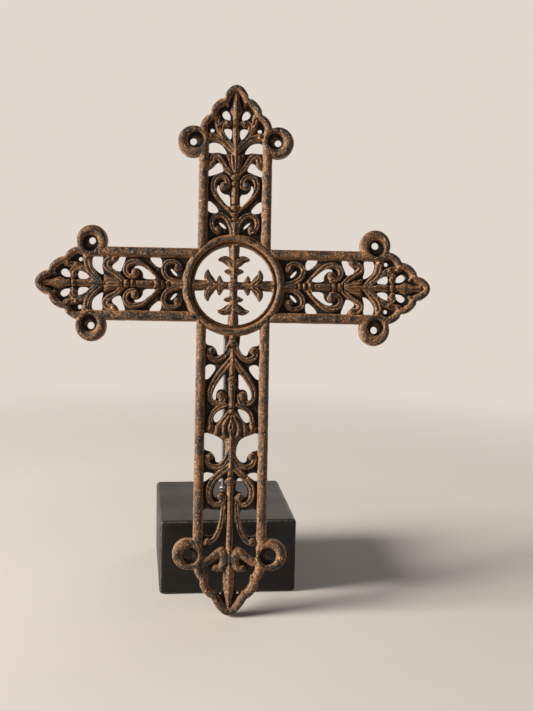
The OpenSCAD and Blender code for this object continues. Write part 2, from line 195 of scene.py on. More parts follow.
# An arm's right half: how long it is, its outline, where its straight bar ends, the middle of its lobe, the
# radius of the lobe's hole, and the lists above.
Pattern = namedtuple("Pattern", "end outline bar_end ear hole openings notches scrolls cups rolls shell stem "
                                "beads spears shaped_end")
ARM = Pattern(
    PATTERN_ARM, TIP_OUTLINE + [(HALF_BAR, 60), (0, 60)], ARM_EAR[1], ARM_EAR, 2.6, ARM_OPENINGS, ARM_NOTCHES,
    ARM_SCROLLS, ARM_CUPS, ARM_ROLLS, ARM_SHELL, ARM_STEM, ARM_BEADS, ARM_SPEARS, ARM_END)
FOOT = Pattern(
    PATTERN_FOOT, [(0, 180), (HALF_BAR, 180)] + FOOT_OUTLINE, FOOT_EAR[1] + EAR_RADIUS, FOOT_EAR, 3.6,
    FOOT_OPENINGS, FOOT_NOTCHES, FOOT_SCROLLS, [], FOOT_ROLLS, FOOT_SHELL, FOOT_STEM, FOOT_BEADS, FOOT_SPEARS,
    FOOT_END)

# Ring profile: distance in from the hole and height of the face there.
RING_PROFILE = [(0, 6.6), (0.5, 7.9), (1.1, 8), (1.7, 6.6), (2.4, 5.4), (3.1, 7.6), (4, 9.4), (5.4, 10),
                (6.8, 9.6), (7.9, 8.4), (8.8, 6.2)]
RING_HOLE = 30.4
# Leaves of the cross inside the ring: (height, outline, midrib, width of the midrib's fold).
LEAVES = [
    (5.6, [(1, 12.6), (6, 15.2), (8.6, 17.8), (13.4, 19.4), (10, 22.6), (5.4, 23.2), (1, 21)],
     [(0.4, 14.6), (3.4, 19), (7.4, 20.8), (12.8, 19.6)], (4.6, 1.4)),
    (5.2, [(1, 6.8), (4.6, 8.4), (8.6, 10.6), (6, 13), (1, 13)],
     [(0.4, 8), (3, 10.6), (8.2, 10.8)], (3.6, 1.2)),
]
# Window that holds the leaves of one bar: half width, start and end.
LEAF_WINDOW = (15, 4, 26)
# Half width of the bars of that cross at the middle and at the ring.
BAR_HALF_WIDTH = (2.8, 4.5)
BOSS_RADIUS = 4.8

# ---- Heights and profiles of the relief, in millimetres; shares are of a feature's half width ----

NOTCH_DEPTH = 1.4
NOTCH_SPREAD = 1.7
CUP_FLOOR = 3.4
POCKET_FLOOR = 3.6
BOWL_CURVE = 0.035
RIM_BASE = 5
BORDER_BASE = 5.2
BORDER_FULLNESS = 0.8
BAND_SPREAD = 0.68
GROOVE_SHARE = 0.36
BULB_RISE = 0.4
BEAD_SQUASH = 0.62
# Gap between a bead and the stem beside it, and how high the neck in the gap stands over the web.
BEAD_GAP = 1.2
NECK_HEIGHT = 1.6
TOP_OF_BEADS = 9.6
STEM_RIDGE = 9.0
STEM_SLOPE = 0.95
SPEAR_TOP = TOP_OF_BEADS - 0.1
SPEAR_FALL = 2.8
SPEAR_WIDEST = 0.35
# Shell: height of its low edge over the web, mean rise of the ribs, their swing, and how far in they rise.
SHELL_EDGE, SHELL_RISE, SHELL_SWING, SHELL_SWELL = 1.2, 2.5, 1.5, 2.2
SWAY_LENGTH = 3.6
BAR_RIDGE, BAR_SLOPE = 8.5, 0.85
MIDRIB_RISE, MIDRIB_GROOVE, MIDRIB_GROOVE_SHARE = 3.4, 0.55, 0.32
BOSS_BASE, BOSS_RISE = 5, 5
# Joins: how far arms and inner bars run past their ends, how far the faces of the ring and of a leaf run past
# the edge, where the inner bars end under the ring, and how far their relief runs past its hole.
ARM_LAP, RING_LAP, LEAF_LAP = 1, 0.3, 0.2
BAR_END, BAR_LAP = PATTERN_RING - 4, 1.5
# Back of the casting: setback of the ring, its slope and how far it goes, then start and width of the slope
# inside the border.
RING_BACK, RING_BACK_SLOPE, RING_BACK_LAP = 0.4, 0.8, 0.5
BACK_START, BACK_SLOPE = 1.2, 1.4
EDGE_ROUNDING = 0.5
# Unevenness of the cast skin: (size in grid steps, amount).
HEIGHT_LUMPS = ((9, 0.07), (4, 0.045))
EDGE_LUMPS = ((8, 0.08), (4, 0.04))
SKIN_SETBACK = 0.1
SKIN_SEED = 7
SOFTENING = 0.24
CREST_REACH = 1.5
GRID_MARGIN = 2
FAR = 30.0


# ---- Settings ----

# Each makes a property with its name, description, default and unit.

def length(name, description, millimetres):
    return FloatProperty(name=name, description=description, default=millimetres * MM, unit="LENGTH")


def turn(name, description, degrees):
    return FloatProperty(name=name, description=description, default=radians(degrees), unit="ROTATION")


def colour(name, description, shade):
    return FloatVectorProperty(name=name, description=description, subtype="COLOR", size=3, default=shade,
                               min=0, max=1)


def power(name, description, watts):
    return FloatProperty(name=name, description=description, default=watts, min=0, unit="POWER")


class CastingSettings(bpy.types.PropertyGroup):
    """Sizes of the casting"""

    top_length: length("Top arm", "From the middle of the ring to the top tip", 155.3)
    side_length: length("Side arm", "From the middle of the ring to a side tip", 152.5)
    foot_length: length("Lower arm", "From the middle of the ring to the pointed foot", 253.3)
    border: length("Border", "Width of the rounded border", 7.8)
    depth: length("Depth", "Full depth of the casting", 10)
    web_top: length("Web", "Height of the web behind the scrolls", 4.4)
    scroll_top: length("Scroll height", "Height of the scrolls above the back", 9.2)
    groove: FloatProperty(
        name="Groove", description="How deep the groove along a scroll is, as a share of its height",
        default=0.46, min=0, max=0.8)
    lean: turn("Lean", "Backward lean of the casting", 9.8)
    voxel: length("Sculpting step", "Grid step of the sculpted casting", 0.46)
    triangles: IntProperty(
        name="Triangles", description="Triangles kept in the finished casting",
        default=192000, min=20000, max=199000)


class StandSettings(bpy.types.PropertyGroup):
    """Sizes of the block, the rod and what is on it"""

    block_width: length("Block width", "Width of the wood block", 110)
    block_depth: length("Block depth", "Depth of the wood block", 120)
    block_height: FloatProperty(
        name="Block height", description="Height of the wood block",
        default=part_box("block")[1].z, unit="LENGTH")
    block_edge: length("Block edge", "Radius of the block's worn edges", 3)
    block_turn: turn("Block turn", "Turn of the block against the casting", 5)
    rod_diameter: length("Rod diameter", "Diameter of the steel rod", 3)
    rod_bend: length("Rod bend", "Radius of the bend near the rod's top", 6)
    rod_fit: length("Rod fit", "Clearance round the rod in the block, the hardware and the pad", 0.05)
    thread_length: length("Thread", "Length of the threaded foot of the rod above the block", 12)
    thread_pitch: length("Pitch", "Pitch of the thread", 0.7)


class FinishSettings(bpy.types.PropertyGroup):
    """Colours of the object"""

    rust: colour("Rust", "Orange brown of the rusted flanks", (0.31, 0.145, 0.06))
    brown: colour("Brown", "Dark brown of the old iron skin", (0.062, 0.038, 0.023))
    paint: colour("Old paint", "Black paint left in the recesses", (0.0062, 0.0053, 0.0047))
    crest: colour("Worn paint", "Black paint left on the crests and in patches", (0.011, 0.0095, 0.0085))
    # Pale tan specks: partly the sandy skin and partly painted glints of light off its grains.
    specks: colour("Specks", "Pale tan specks of the sandy skin", (0.55, 0.36, 0.2))
    wood: colour("Block paint", "Black paint of the wood block", (0.0062, 0.0051, 0.0042))
    bare_wood: colour("Worn edge", "Colour of the block's worn edges", (0.075, 0.066, 0.056))
    steel: colour("Rod steel", "Dull steel of the rod", (0.2, 0.2, 0.2))
    zinc: colour("Hardware", "Bright plating of the nuts and washer", (0.62, 0.62, 0.6))


class StageSettings(bpy.types.PropertyGroup):
    """Camera, lamps and floor"""

    lens: FloatProperty(
        name="Lens", description="Focal length of the camera in millimetres", default=55.7, min=10, max=300)
    camera_place: FloatVectorProperty(
        name="Camera", description="Place of the camera",
        subtype="TRANSLATION", size=3, unit="LENGTH", default=(0.00246, -0.91008, 0.33037))
    camera_yaw: turn("Yaw", "Turn of the camera to the right", 2.033)
    camera_pitch: turn("Pitch", "Downward tilt of the camera", 9.006)
    camera_roll: turn("Roll", "Roll of the camera", 1.252)
    floor_colour: colour("Floor", "Colour of the floor near the object", (0.64, 0.6, 0.565))
    backdrop_colour: colour("Backdrop", "Pale colour that is seen far from the object", (0.76, 0.685, 0.62))
    key_power: power("Key lamp", "Power of the window-like lamp at the left", 218)
    fill_power: power("Fill lamp", "Power of the weak lamp in front, at the right", 1.2)
    back_power: power("Back lamp", "Power of the weak lamp behind the object", 7)
    sky: FloatProperty(
        name="Sky", description="Strength of the plain light from all sides", default=0.07, min=0, max=2)


# ---- Plane geometry ----

def cut_corners(points, passes=3):
    """A closed loop with its corners cut a few times over."""
    loop = np.array(points, float)
    for _ in range(passes):
        following = np.roll(loop, -1, 0)
        loop = np.stack([0.75 * loop + 0.25 * following, 0.25 * loop + 0.75 * following], 1).reshape(-1, 2)
    return loop


def ease(points, passes=3):
    """An open route with its corners cut a few times over; both ends stay."""
    route = np.array(points, float)
    for _ in range(passes):
        a, b = route[:-1], route[1:]
        inner = np.stack([0.75 * a + 0.25 * b, 0.25 * a + 0.75 * b], 1).reshape(-1, 2)
        route = np.vstack([route[:1], inner, route[-1:]])
    return route


def loop_distance(x, y, loop):
    """Signed distance to a closed loop, positive inside it."""
    best = np.full(x.shape, np.inf)
    inside = np.zeros(x.shape, bool)
    for a, b in zip(loop, np.roll(loop, -1, 0)):
        dx, dy = b - a
        part = np.clip(((x - a[0]) * dx + (y - a[1]) * dy) / max(dx * dx + dy * dy, 1e-12), 0, 1)
        best = np.minimum(best, (x - a[0] - part * dx) ** 2 + (y - a[1] - part * dy) ** 2)
        if dy != 0:
            crosses = (a[1] > y) != (b[1] > y)
            inside ^= crosses & (x < a[0] + (y - a[1]) * dx / dy)
    return np.where(inside, 1, -1) * np.sqrt(best)


def route_distance(x, y, route):
    """Distance to an open route, and how far along it the nearest point lies, from 0 to 1."""
    steps = np.linalg.norm(np.diff(route, axis=0), axis=1)
    done = np.concatenate([[0], np.cumsum(steps)])
    best = np.full(x.shape, np.inf)
    along = np.zeros(x.shape)
    for a, b, start, step in zip(route[:-1], route[1:], done[:-1], steps):
        dx, dy = b - a
        part = np.clip(((x - a[0]) * dx + (y - a[1]) * dy) / step ** 2, 0, 1)
        away = np.hypot(x - a[0] - part * dx, y - a[1] - part * dy)
        nearer = away < best
        best = np.where(nearer, away, best)
        along = np.where(nearer, (start + part * step) / done[-1], along)
    return best, along


def dome(q):
    """Half-round profile, 1 in the middle and 0 at q = 1 and beyond."""
    return np.sqrt(np.clip(1 - q * q, 0, 1))


def blur(field, sigma):
    """Gaussian blur of a plane field; sigma is in grid steps."""
    reach = int(np.ceil(3 * sigma))
    taps = np.exp(-0.5 * (np.arange(-reach, reach + 1) / sigma) ** 2)
    taps /= taps.sum()
    for axis in (0, 1):
        padded = np.pad(field, [(reach, reach) if k == axis else (0, 0) for k in (0, 1)], mode="edge")
        size = field.shape[axis]
        field = sum(w * np.take(padded, range(k, k + size), axis) for k, w in enumerate(taps))
    return field


# ---- The pattern: right half of an arm as fields on a fine grid ----

class Sheet:
    """Height and edges over the right half of an arm, on a grid in pattern millimetres."""

    step = 0.25
    low = (-1.0, 26.0)
    across_end = 47
    margin = 3

    def __init__(self, end, ground):
        self.across = np.arange(self.low[0], self.across_end, self.step)
        self.along = np.arange(self.low[1], end + self.margin, self.step)
        self.t, self.s = np.meshgrid(self.across, self.along, indexing="ij")
        self.ground = ground
        self.height = np.full(self.t.shape, ground)
        self.outline = np.full(self.t.shape, -FAR)
        self.web = np.full(self.t.shape, FAR)

    def near(self, points, reach):
        """The part of the grid within reach of some points."""
        points = np.array(points, float).reshape(-1, 2)
        low, high = points.min(0) - reach, points.max(0) + reach
        rows = slice(*np.searchsorted(self.across, (low[0], high[0])))
        columns = slice(*np.searchsorted(self.along, (low[1], high[1])))
        return rows, columns

    def around(self, centre, reach):
        """The part of the grid within reach of a place, and the distances there from that place."""
        part = self.near([centre], reach)
        return part, np.hypot(self.t[part] - centre[0], self.s[part] - centre[1])

    def lift(self, height, part=..., inside=True):
        """Raises what is lower than a height, in a part of the grid and inside a mask."""
        self.height[part] = np.where(inside, np.maximum(self.height[part], height), self.height[part])

    def sample(self, t, s):
        """Bilinear values of (height, outline, web) at pattern places; places off the grid are outside."""
        i = (t - self.low[0]) / self.step
        j = (s - self.low[1]) / self.step
        valid = (i >= 0) & (j >= 0) & (i < len(self.across) - 1) & (j < len(self.along) - 1)
        i, j = np.where(valid, i, 0), np.where(valid, j, 0)
        i0, j0 = i.astype(int), j.astype(int)
        fi, fj = i - i0, j - j0
        values = []
        for field, outside in ((self.height, self.ground), (self.outline, -FAR), (self.web, FAR)):
            value = ((1 - fi) * (1 - fj) * field[i0, j0] + fi * (1 - fj) * field[i0 + 1, j0]
                     + (1 - fi) * fj * field[i0, j0 + 1] + fi * fj * field[i0 + 1, j0 + 1])
            values.append(np.where(valid, value, outside))
        return values


def mirrored(half):
    """A whole loop from its right-hand half, which starts and ends on the middle line."""
    return list(half) + [(-t, s) for t, s in reversed(half) if t > 0]


def draw_outline(sheet, half, ear, bar_end):
    """Outline of the arm: bar, lobe and shaped end."""
    bar = np.minimum(HALF_BAR - np.abs(sheet.t), bar_end - sheet.s)
    lobe = EAR_RADIUS - np.hypot(sheet.t - ear[0], sheet.s - ear[1])
    shaped = loop_distance(sheet.t, sheet.s, cut_corners(mirrored(half), 2))
    sheet.outline = np.maximum(np.maximum(bar, lobe), shaped)


def cut_openings(sheet, openings, ear, hole):
    """Distance outside the nearest opening of the web; the lobe's hole is one of them."""
    reach = 6
    for opening in openings:
        part = sheet.near(opening, reach)
        distance = -loop_distance(sheet.t[part], sheet.s[part], cut_corners(opening))
        sheet.web[part] = np.minimum(sheet.web[part], distance)
    part, away = sheet.around(ear, hole + reach)
    sheet.web[part] = np.minimum(sheet.web[part], away - hole)


def notch_outline(sheet, notches):
    for place in notches:
        part, away = sheet.around(place, 3 * NOTCH_SPREAD)
        sheet.outline[part] = sheet.outline[part] - NOTCH_DEPTH * np.exp(-((away / NOTCH_SPREAD) ** 2))


def raise_scroll(sheet, scroll, settings, groove):
    """A band along its route, grooved into two ridges, with a domed bulb at its end."""
    start, end, points, centre, radius = scroll
    route = ease(points)
    part = sheet.near(route, max(start, end))
    away, along = route_distance(sheet.t[part], sheet.s[part], route)
    q = away / ((start + (end - start) * along) * BAND_SPREAD)
    top = settings.scroll_top / MM - sheet.ground
    ridges = dome(q) * (1 - groove * np.exp(-((q / GROOVE_SHARE) ** 2)))
    sheet.lift(sheet.ground + top * ridges, part)
    part, away = sheet.around(centre, radius + 1)
    sheet.lift(sheet.ground + (top + BULB_RISE) * dome(away / radius), part)


def raise_stem(sheet, stem, beads, spears):
    """The roofed stem on the middle line, with necked beads and long blades on it."""
    width, end = stem
    across = np.abs(sheet.t)
    sheet.lift(STEM_RIDGE - STEM_SLOPE * across, inside=(across < width / 2) & (sheet.s < end))
    for place, radius in beads:
        beside = np.abs(np.abs(sheet.s - place) - BEAD_SQUASH * radius - BEAD_GAP / 2)
        neck = (across < radius) & (beside < BEAD_GAP / 2)
        sheet.height = np.where(neck, np.minimum(sheet.height, sheet.ground + NECK_HEIGHT), sheet.height)
        part = sheet.near([(0, place)], radius + 1)
        q = np.hypot(sheet.t[part] / radius, (sheet.s[part] - place) / (BEAD_SQUASH * radius))
        sheet.lift(sheet.ground + (TOP_OF_BEADS - sheet.ground) * dome(q), part)
    for start, stop, first, middle, last in spears:
        share = np.clip((sheet.s - start) / (stop - start), 0, 1)
        half = np.interp(share, (0, SPEAR_WIDEST, 1), (first, middle, last))
        inside = (across < half) & (sheet.s > start) & (sheet.s < stop)
        sheet.lift(SPEAR_TOP - SPEAR_FALL * across / half, inside=inside)


def sink_cups(sheet, cups):
    """Hollows with round bottoms, which leave what stands high beside them."""
    for centre, radius in cups:
        part, away = sheet.around(centre, radius + 1)
        sunk = sheet.height[part] - (sheet.ground - CUP_FLOOR) * dome(away / radius)
        low = sheet.height[part] < sheet.ground + 1
        sheet.height[part] = np.where(low, sunk, sheet.height[part])


def raise_shell(sheet, shell):
    """A ribbed shell that spreads from its apex."""
    apex, spacing, sway, outline = shell
    loop = cut_corners(mirrored(outline), 2)
    part = sheet.near(loop, 1)
    t, s = sheet.t[part], sheet.s[part]
    edge = loop_distance(t, s, loop)
    angle = np.arctan2(np.abs(t), s - apex)
    reach = np.hypot(t, s - apex)
    ribs = np.cos(2 * pi * (angle / spacing + sway * np.sin(reach / SWAY_LENGTH)))
    swell = np.clip(edge / SHELL_SWELL, 0, 1) ** 0.5
    relief = sheet.ground + SHELL_EDGE + (SHELL_RISE + SHELL_SWING * ribs) * swell
    sheet.height[part] = np.where(edge > 0, relief, sheet.height[part])


def hollow_ear(sheet, ear, top):
    """The rolled rim of a lobe round its pocket."""
    part, away = sheet.around(ear, EAR_RADIUS + 1)
    outer = EAR_RADIUS - away
    across, along = sheet.t[part] - ear[0] - POCKET_SHIFT[0], sheet.s[part] - ear[1] - POCKET_SHIFT[1]
    pocket = np.hypot(across, along) - EAR_POCKET
    share = np.clip(outer, 0, None) / np.clip(np.clip(outer, 0, None) + np.clip(pocket, 0, None), 0.1, None)
    sheet.lift(RIM_BASE + (top - RIM_BASE) * dome(2 * share - 1), part, outer > 0)
    bowl = POCKET_FLOOR + (EAR_POCKET + pocket).clip(0, None) ** 2 * BOWL_CURVE
    sheet.height[part] = np.where(pocket < 0, np.minimum(sheet.height[part], bowl), sheet.height[part])


def round_border(sheet, width, shaped_end, top):
    """The half-round border that follows the outline; it is narrower round the shaped end."""
    places, narrow = shaped_end
    share = sheet.outline / np.interp(sheet.s, places, (width, narrow))
    roll = BORDER_BASE + (top - BORDER_BASE) * dome(2 * share - 1) ** BORDER_FULLNESS
    sheet.lift(roll, inside=(share > 0) & (share < 1))


def arm_sheet(pattern, settings):
    """The relief of one arm, raised feature by feature."""
    depth = settings.depth / MM
    sheet = Sheet(pattern.end, settings.web_top / MM)
    draw_outline(sheet, pattern.outline, pattern.ear, pattern.bar_end)
    cut_openings(sheet, pattern.openings, pattern.ear, pattern.hole)
    notch_outline(sheet, pattern.notches)
    for scroll in pattern.scrolls:
        raise_scroll(sheet, scroll, settings, settings.groove)
    sink_cups(sheet, pattern.cups)
    for roll in pattern.rolls:
        raise_scroll(sheet, roll, settings, 0)
    raise_shell(sheet, pattern.shell)
    raise_stem(sheet, pattern.stem, pattern.beads, pattern.spears)
    round_border(sheet, settings.border / MM, pattern.shaped_end, depth)
    hollow_ear(sheet, pattern.ear, depth)
    return sheet


# ---- The casting ----

def lumps(rng, shape, cells, amount):
    """Soft random unevenness over a plane grid, with features some cells wide."""
    coarse = rng.standard_normal([n // cells + 4 for n in shape])
    rows, columns = np.arange(shape[0]) / cells, np.arange(shape[1]) / cells
    i, j = rows.astype(int), columns.astype(int)
    fi, fj = (rows - i)[:, None], (columns - j)[None, :]
    fi, fj = fi * fi * (3 - 2 * fi), fj * fj * (3 - 2 * fj)
    a, b = coarse[i][:, j], coarse[i + 1][:, j]
    c, d = coarse[i][:, j + 1], coarse[i + 1][:, j + 1]
    return amount * ((1 - fi) * (1 - fj) * a + fi * (1 - fj) * b + (1 - fi) * fj * c + fi * fj * d)


def inner_cross(x, y):
    """Edge distance and height of the four leafed bars and the boss inside the ring."""
    edge = np.full(x.shape, -FAR)
    height = np.zeros(x.shape)
    for across, s in ((x, y), (y, x), (x, -y), (y, -x)):
        t = np.abs(across)
        half = BAR_HALF_WIDTH[0] + (BAR_HALF_WIDTH[1] - BAR_HALF_WIDTH[0]) * s / RING_HOLE
        bar = np.minimum(np.minimum(half - t, s + ARM_LAP), RING_HOLE + ARM_LAP - s)
        edge = np.maximum(edge, bar)
        height = np.where(bar > 0, np.maximum(height, BAR_RIDGE - BAR_SLOPE * t), height)
        for top, outline, midrib, (fold_start, fold_end) in LEAVES:
            window = (t < LEAF_WINDOW[0]) & (s > LEAF_WINDOW[1]) & (s < LEAF_WINDOW[2])
            leaf = loop_distance(t[window], s[window], cut_corners(outline, 2))
            edge[window] = np.maximum(edge[window], leaf)
            away, part = route_distance(t[window], s[window], ease(midrib))
            q = away / ((fold_start + (fold_end - fold_start) * part) / 2)
            groove = MIDRIB_GROOVE * np.exp(-((q / MIDRIB_GROOVE_SHARE) ** 2))
            relief = top + MIDRIB_RISE * dome(q) * (1 - groove)
            height[window] = np.maximum(height[window], np.where(leaf > -LEAF_LAP, relief, 0))
    away = np.hypot(x, y)
    edge = np.maximum(edge, BOSS_RADIUS - away)
    boss = away / BOSS_RADIUS
    return edge, np.where(boss < 1, BOSS_BASE + BOSS_RISE * dome(boss), height)


def cast_fields(x, y, settings):
    """Edge distance, front height and back height over the plane of the whole casting."""
    radius = np.hypot(x, y)
    outline = PATTERN_RING - radius
    web = np.full(x.shape, FAR)
    height = np.full(x.shape, settings.web_top / MM)
    arm, foot = arm_sheet(ARM, settings), arm_sheet(FOOT, settings)
    arms = ((arm, ARM.end, settings.top_length, x, y), (arm, ARM.end, settings.side_length, y, x),
            (arm, ARM.end, settings.side_length, y, -x), (foot, FOOT.end, settings.foot_length, x, -y))
    for sheet, full, size, across, along in arms:
        stretch = (full - PATTERN_RING) / (size / MM - PATTERN_RING)
        relief, shape, cut = sheet.sample(np.abs(across), PATTERN_RING + (along - PATTERN_RING) * stretch)
        outline = np.maximum(outline, shape)
        web = np.minimum(web, cut)
        height = np.maximum(height, relief)
    border = settings.border / MM
    rim = np.minimum(outline, border - outline)
    outside_ring = radius - (PATTERN_RING - ARM_LAP)
    edge = np.minimum(np.maximum(rim, np.minimum(outline, web)), outside_ring)
    height = np.where(outside_ring > 0, height, 0)

    ring = np.minimum(PATTERN_RING - radius, radius - RING_HOLE)
    face = np.interp(radius - RING_HOLE, *zip(*RING_PROFILE))
    height = np.where(ring > -RING_LAP, np.maximum(height, face), height)
    inner, inner_height = inner_cross(x, y)
    inner = np.minimum(inner, BAR_END - radius)
    height = np.where(radius < RING_HOLE + BAR_LAP, np.maximum(height, inner_height), height)
    edge = np.maximum(np.maximum(edge, ring), inner)

    # The back is flat behind the web, and the border and the ring stand proud of it.
    inset = np.clip((outline - border + BACK_START) / BACK_SLOPE, 0, 1)
    ring_back = RING_BACK + (1 - RING_BACK) * np.clip(-ring / RING_BACK_SLOPE, 0, 1)
    return edge, height, np.where(radius < PATTERN_RING + RING_BACK_LAP, ring_back, inset)


def soft_minimum(a, b, width):
    """Smaller of two fields, rounded where they meet."""
    mix = np.clip(0.5 + 0.5 * (b - a) / width, 0, 1)
    return b * (1 - mix) + a * mix - width * mix * (1 - mix)


def sculpt(settings):
    """Vertices, quads and the crest field of the casting, in its own frame in millimetres."""
    step = settings.voxel / MM
    half = settings.side_length / MM + GRID_MARGIN
    xs = np.arange(-half, half, step)
    ys = np.arange(-settings.foot_length / MM - GRID_MARGIN, settings.top_length / MM + GRID_MARGIN, step)
    zs = np.arange(-2 * step, settings.depth / MM + 2 * step, step)
    x, y = np.meshgrid(xs, ys, indexing="ij")
    edge, height, back = cast_fields(x, y, settings)
    rng = np.random.default_rng(SKIN_SEED)
    height = blur(height, SOFTENING / step)
    crest = height - blur(height, CREST_REACH / step)
    for cells, amount in HEIGHT_LUMPS:
        height = height + lumps(rng, x.shape, cells, amount)
    height = np.minimum(height, settings.depth / MM)
    for cells, amount in EDGE_LUMPS:
        edge = edge + lumps(rng, x.shape, cells, amount)
    edge = edge - SKIN_SETBACK
    steep = np.sqrt(1 + sum(g ** 2 for g in np.gradient(height, step)))
    solid = np.empty((len(xs), len(ys), len(zs)), np.float32)
    for k, z in enumerate(zs):
        front = soft_minimum(edge, (height - z) / steep, EDGE_ROUNDING)
        solid[:, :, k] = soft_minimum(front, z - back, EDGE_ROUNDING)
    grid = openvdb.FloatGrid()
    grid.copyFromArray(-solid)
    points, quads = grid.convertToQuads()
    return np.asarray(points) * step + (xs[0], ys[0], zs[0]), np.asarray(quads), (xs, ys, crest)


# ---- Mesh helpers ----

@contextmanager
def edited(mesh):
    """Opens a mesh for bmesh work and writes it back."""
    bm = bmesh.new()
    bm.from_mesh(mesh)
    yield bm
    bm.to_mesh(mesh)
    bm.free()


def mesh_from(name, points, faces):
    mesh = bpy.data.meshes.new(name)
    mesh.from_pydata(np.asarray(points).tolist(), [], np.asarray(faces).tolist())
    mesh.validate()
    return mesh


def signed_volume(mesh):
    bm = bmesh.new()
    bm.from_mesh(mesh)
    volume = bm.calc_volume(signed=True)
    bm.free()
    return volume


def object_from(name, data):
    made = bpy.data.objects.new(name, data)
    bpy.context.scene.collection.objects.link(made)
    return made


def apply_modifiers(made):
    """Turns an object's modifiers into plain mesh."""
    depsgraph = bpy.context.evaluated_depsgraph_get()
    made.data = bpy.data.meshes.new_from_object(made.evaluated_get(depsgraph))
    made.modifiers.clear()


def shade_smooth(mesh):
    mesh.polygons.foreach_set("use_smooth", [True] * len(mesh.polygons))


def vertex_array(mesh, field="co"):
    values = np.empty(len(mesh.vertices) * 3)
    mesh.vertices.foreach_get(field, values)
    return values.reshape(-1, 3)


def store(mesh, name, values):
    attribute = mesh.attributes.new(name, "FLOAT", "POINT")
    attribute.data.foreach_set("value", np.asarray(values, np.float32))


def paint(made, material):
    """Gives a piece its only material."""
    made.data.materials.clear()
    made.data.materials.append(material)


def finish_piece(piece, slot, *nodes):
    """Hides the imported parts that a piece stands in for and hangs the piece on the root body; the slot is
    not used.
    """
    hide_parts(*nodes)
    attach(piece, "root")


def lean_back(points, lean, place):
    """Casting frame in millimetres to the shared frame in metres."""
    x, up, out = points.T * MM
    return np.stack([place.x + x, place.y + up * sin(lean) - out * cos(lean),
                     place.z + up * cos(lean) + out * sin(lean)], 1)


# ---- Materials ----

class Tree:
    """Short calls for building a node tree; a node given as an input stands for its first output."""

    def __init__(self, tree):
        self.tree = tree

    def link(self, source, socket):
        self.tree.links.new(source, socket)

    def feed(self, socket, value):
        """Links a socket or a node to an input, or sets the input's own value."""
        if isinstance(value, bpy.types.Node):
            value = value.outputs[0]
        if isinstance(value, bpy.types.NodeSocket):
            self.link(value, socket)
        elif socket.type == "RGBA" and len(value) == 3:
            socket.default_value = (*value, 1)
        else:
            socket.default_value = value

    def node(self, kind, inputs=(), **settings):
        made = self.tree.nodes.new(kind)
        for key, value in settings.items():
            setattr(made, key, value)
        for key, value in dict(inputs).items():
            self.feed(made.inputs[key], value)
        return made

    def math(self, operation, a, b):
        return self.node("ShaderNodeMath", {0: a, 1: b}, operation=operation).outputs["Value"]

    def add(self, a, b):
        return self.math("ADD", a, b)

    def times(self, a, b):
        return self.math("MULTIPLY", a, b)


class Nodes(Tree):
    """The node tree of a new material; its textures run on the piece's own Object coordinates."""

    def __init__(self, name):
        self.material = bpy.data.materials.new(name)
        self.material.use_nodes = True
        super().__init__(self.material.node_tree)
        self.shader = self.tree.nodes["Principled BSDF"]
        self.place = self.node("ShaderNodeTexCoord").outputs["Object"]

    def noise(self, scale, detail=4.0, roughness=0.55, distortion=0.0, place=None):
        return self.node("ShaderNodeTexNoise", {
            "Vector": place or self.place, "Scale": scale, "Detail": detail,
            "Roughness": roughness, "Distortion": distortion}).outputs["Fac"]

    def stretched(self, scale):
        return self.node("ShaderNodeMapping", {"Vector": self.place, "Scale": scale}).outputs["Vector"]

    def attribute(self, name):
        return self.node("ShaderNodeAttribute", attribute_name=name).outputs["Fac"]

    def range(self, value, low, high, start=0.0, end=1.0):
        return self.node("ShaderNodeMapRange", {
            "Value": value, "From Min": low, "From Max": high, "To Min": start, "To Max": end}
        ).outputs["Result"]

    def uneven(self, value, noise, amount):
        """A value that a noise moves up and down by an amount."""
        return self.add(value, self.times(self.math("SUBTRACT", noise, 0.5), amount))

    def away(self):
        """Distance from the origin."""
        return self.node("ShaderNodeVectorMath", {0: self.place}, operation="LENGTH").outputs["Value"]

    def mix(self, share, a, b, blend="MIX"):
        """Colour mix; a and b are colours or sockets."""
        made = self.node("ShaderNodeMix", data_type="RGBA", blend_type=blend)
        for index, value in ((0, share), (6, a), (7, b)):
            self.feed(made.inputs[index], value)
        return made.outputs[2]

    def bump(self, heights):
        """Stacks bumps: (height socket, strength, distance in metres)."""
        normal = {}
        for height, strength, distance in heights:
            made = self.node("ShaderNodeBump", {
                "Height": height, "Strength": strength, "Distance": distance, **normal})
            normal = {"Normal": made.outputs["Normal"]}
        self.set(**normal)

    def pale_backdrop(self, colour):
        """Far from the middle the surface shows a plain pale colour; near it, it takes light and shadow."""
        path = self.node("ShaderNodeLightPath").outputs
        seen = self.math("MAXIMUM", path["Is Camera Ray"],
                         self.math("MAXIMUM", path["Is Glossy Ray"], path["Is Transmission Ray"]))
        share = self.times(seen, self.range(self.away(), 0.22, 0.85))
        glow = self.node("ShaderNodeEmission", {"Color": colour, "Strength": 1.0})
        blend = self.node("ShaderNodeMixShader", {0: share, 1: self.shader, 2: glow})
        self.link(blend.outputs[0], self.tree.nodes["Material Output"].inputs["Surface"])

    def set(self, **values):
        """Sets inputs of the shader; an underscore in a name stands for a space."""
        for key, value in values.items():
            self.feed(self.shader.inputs[key.replace("_", " ")], value)


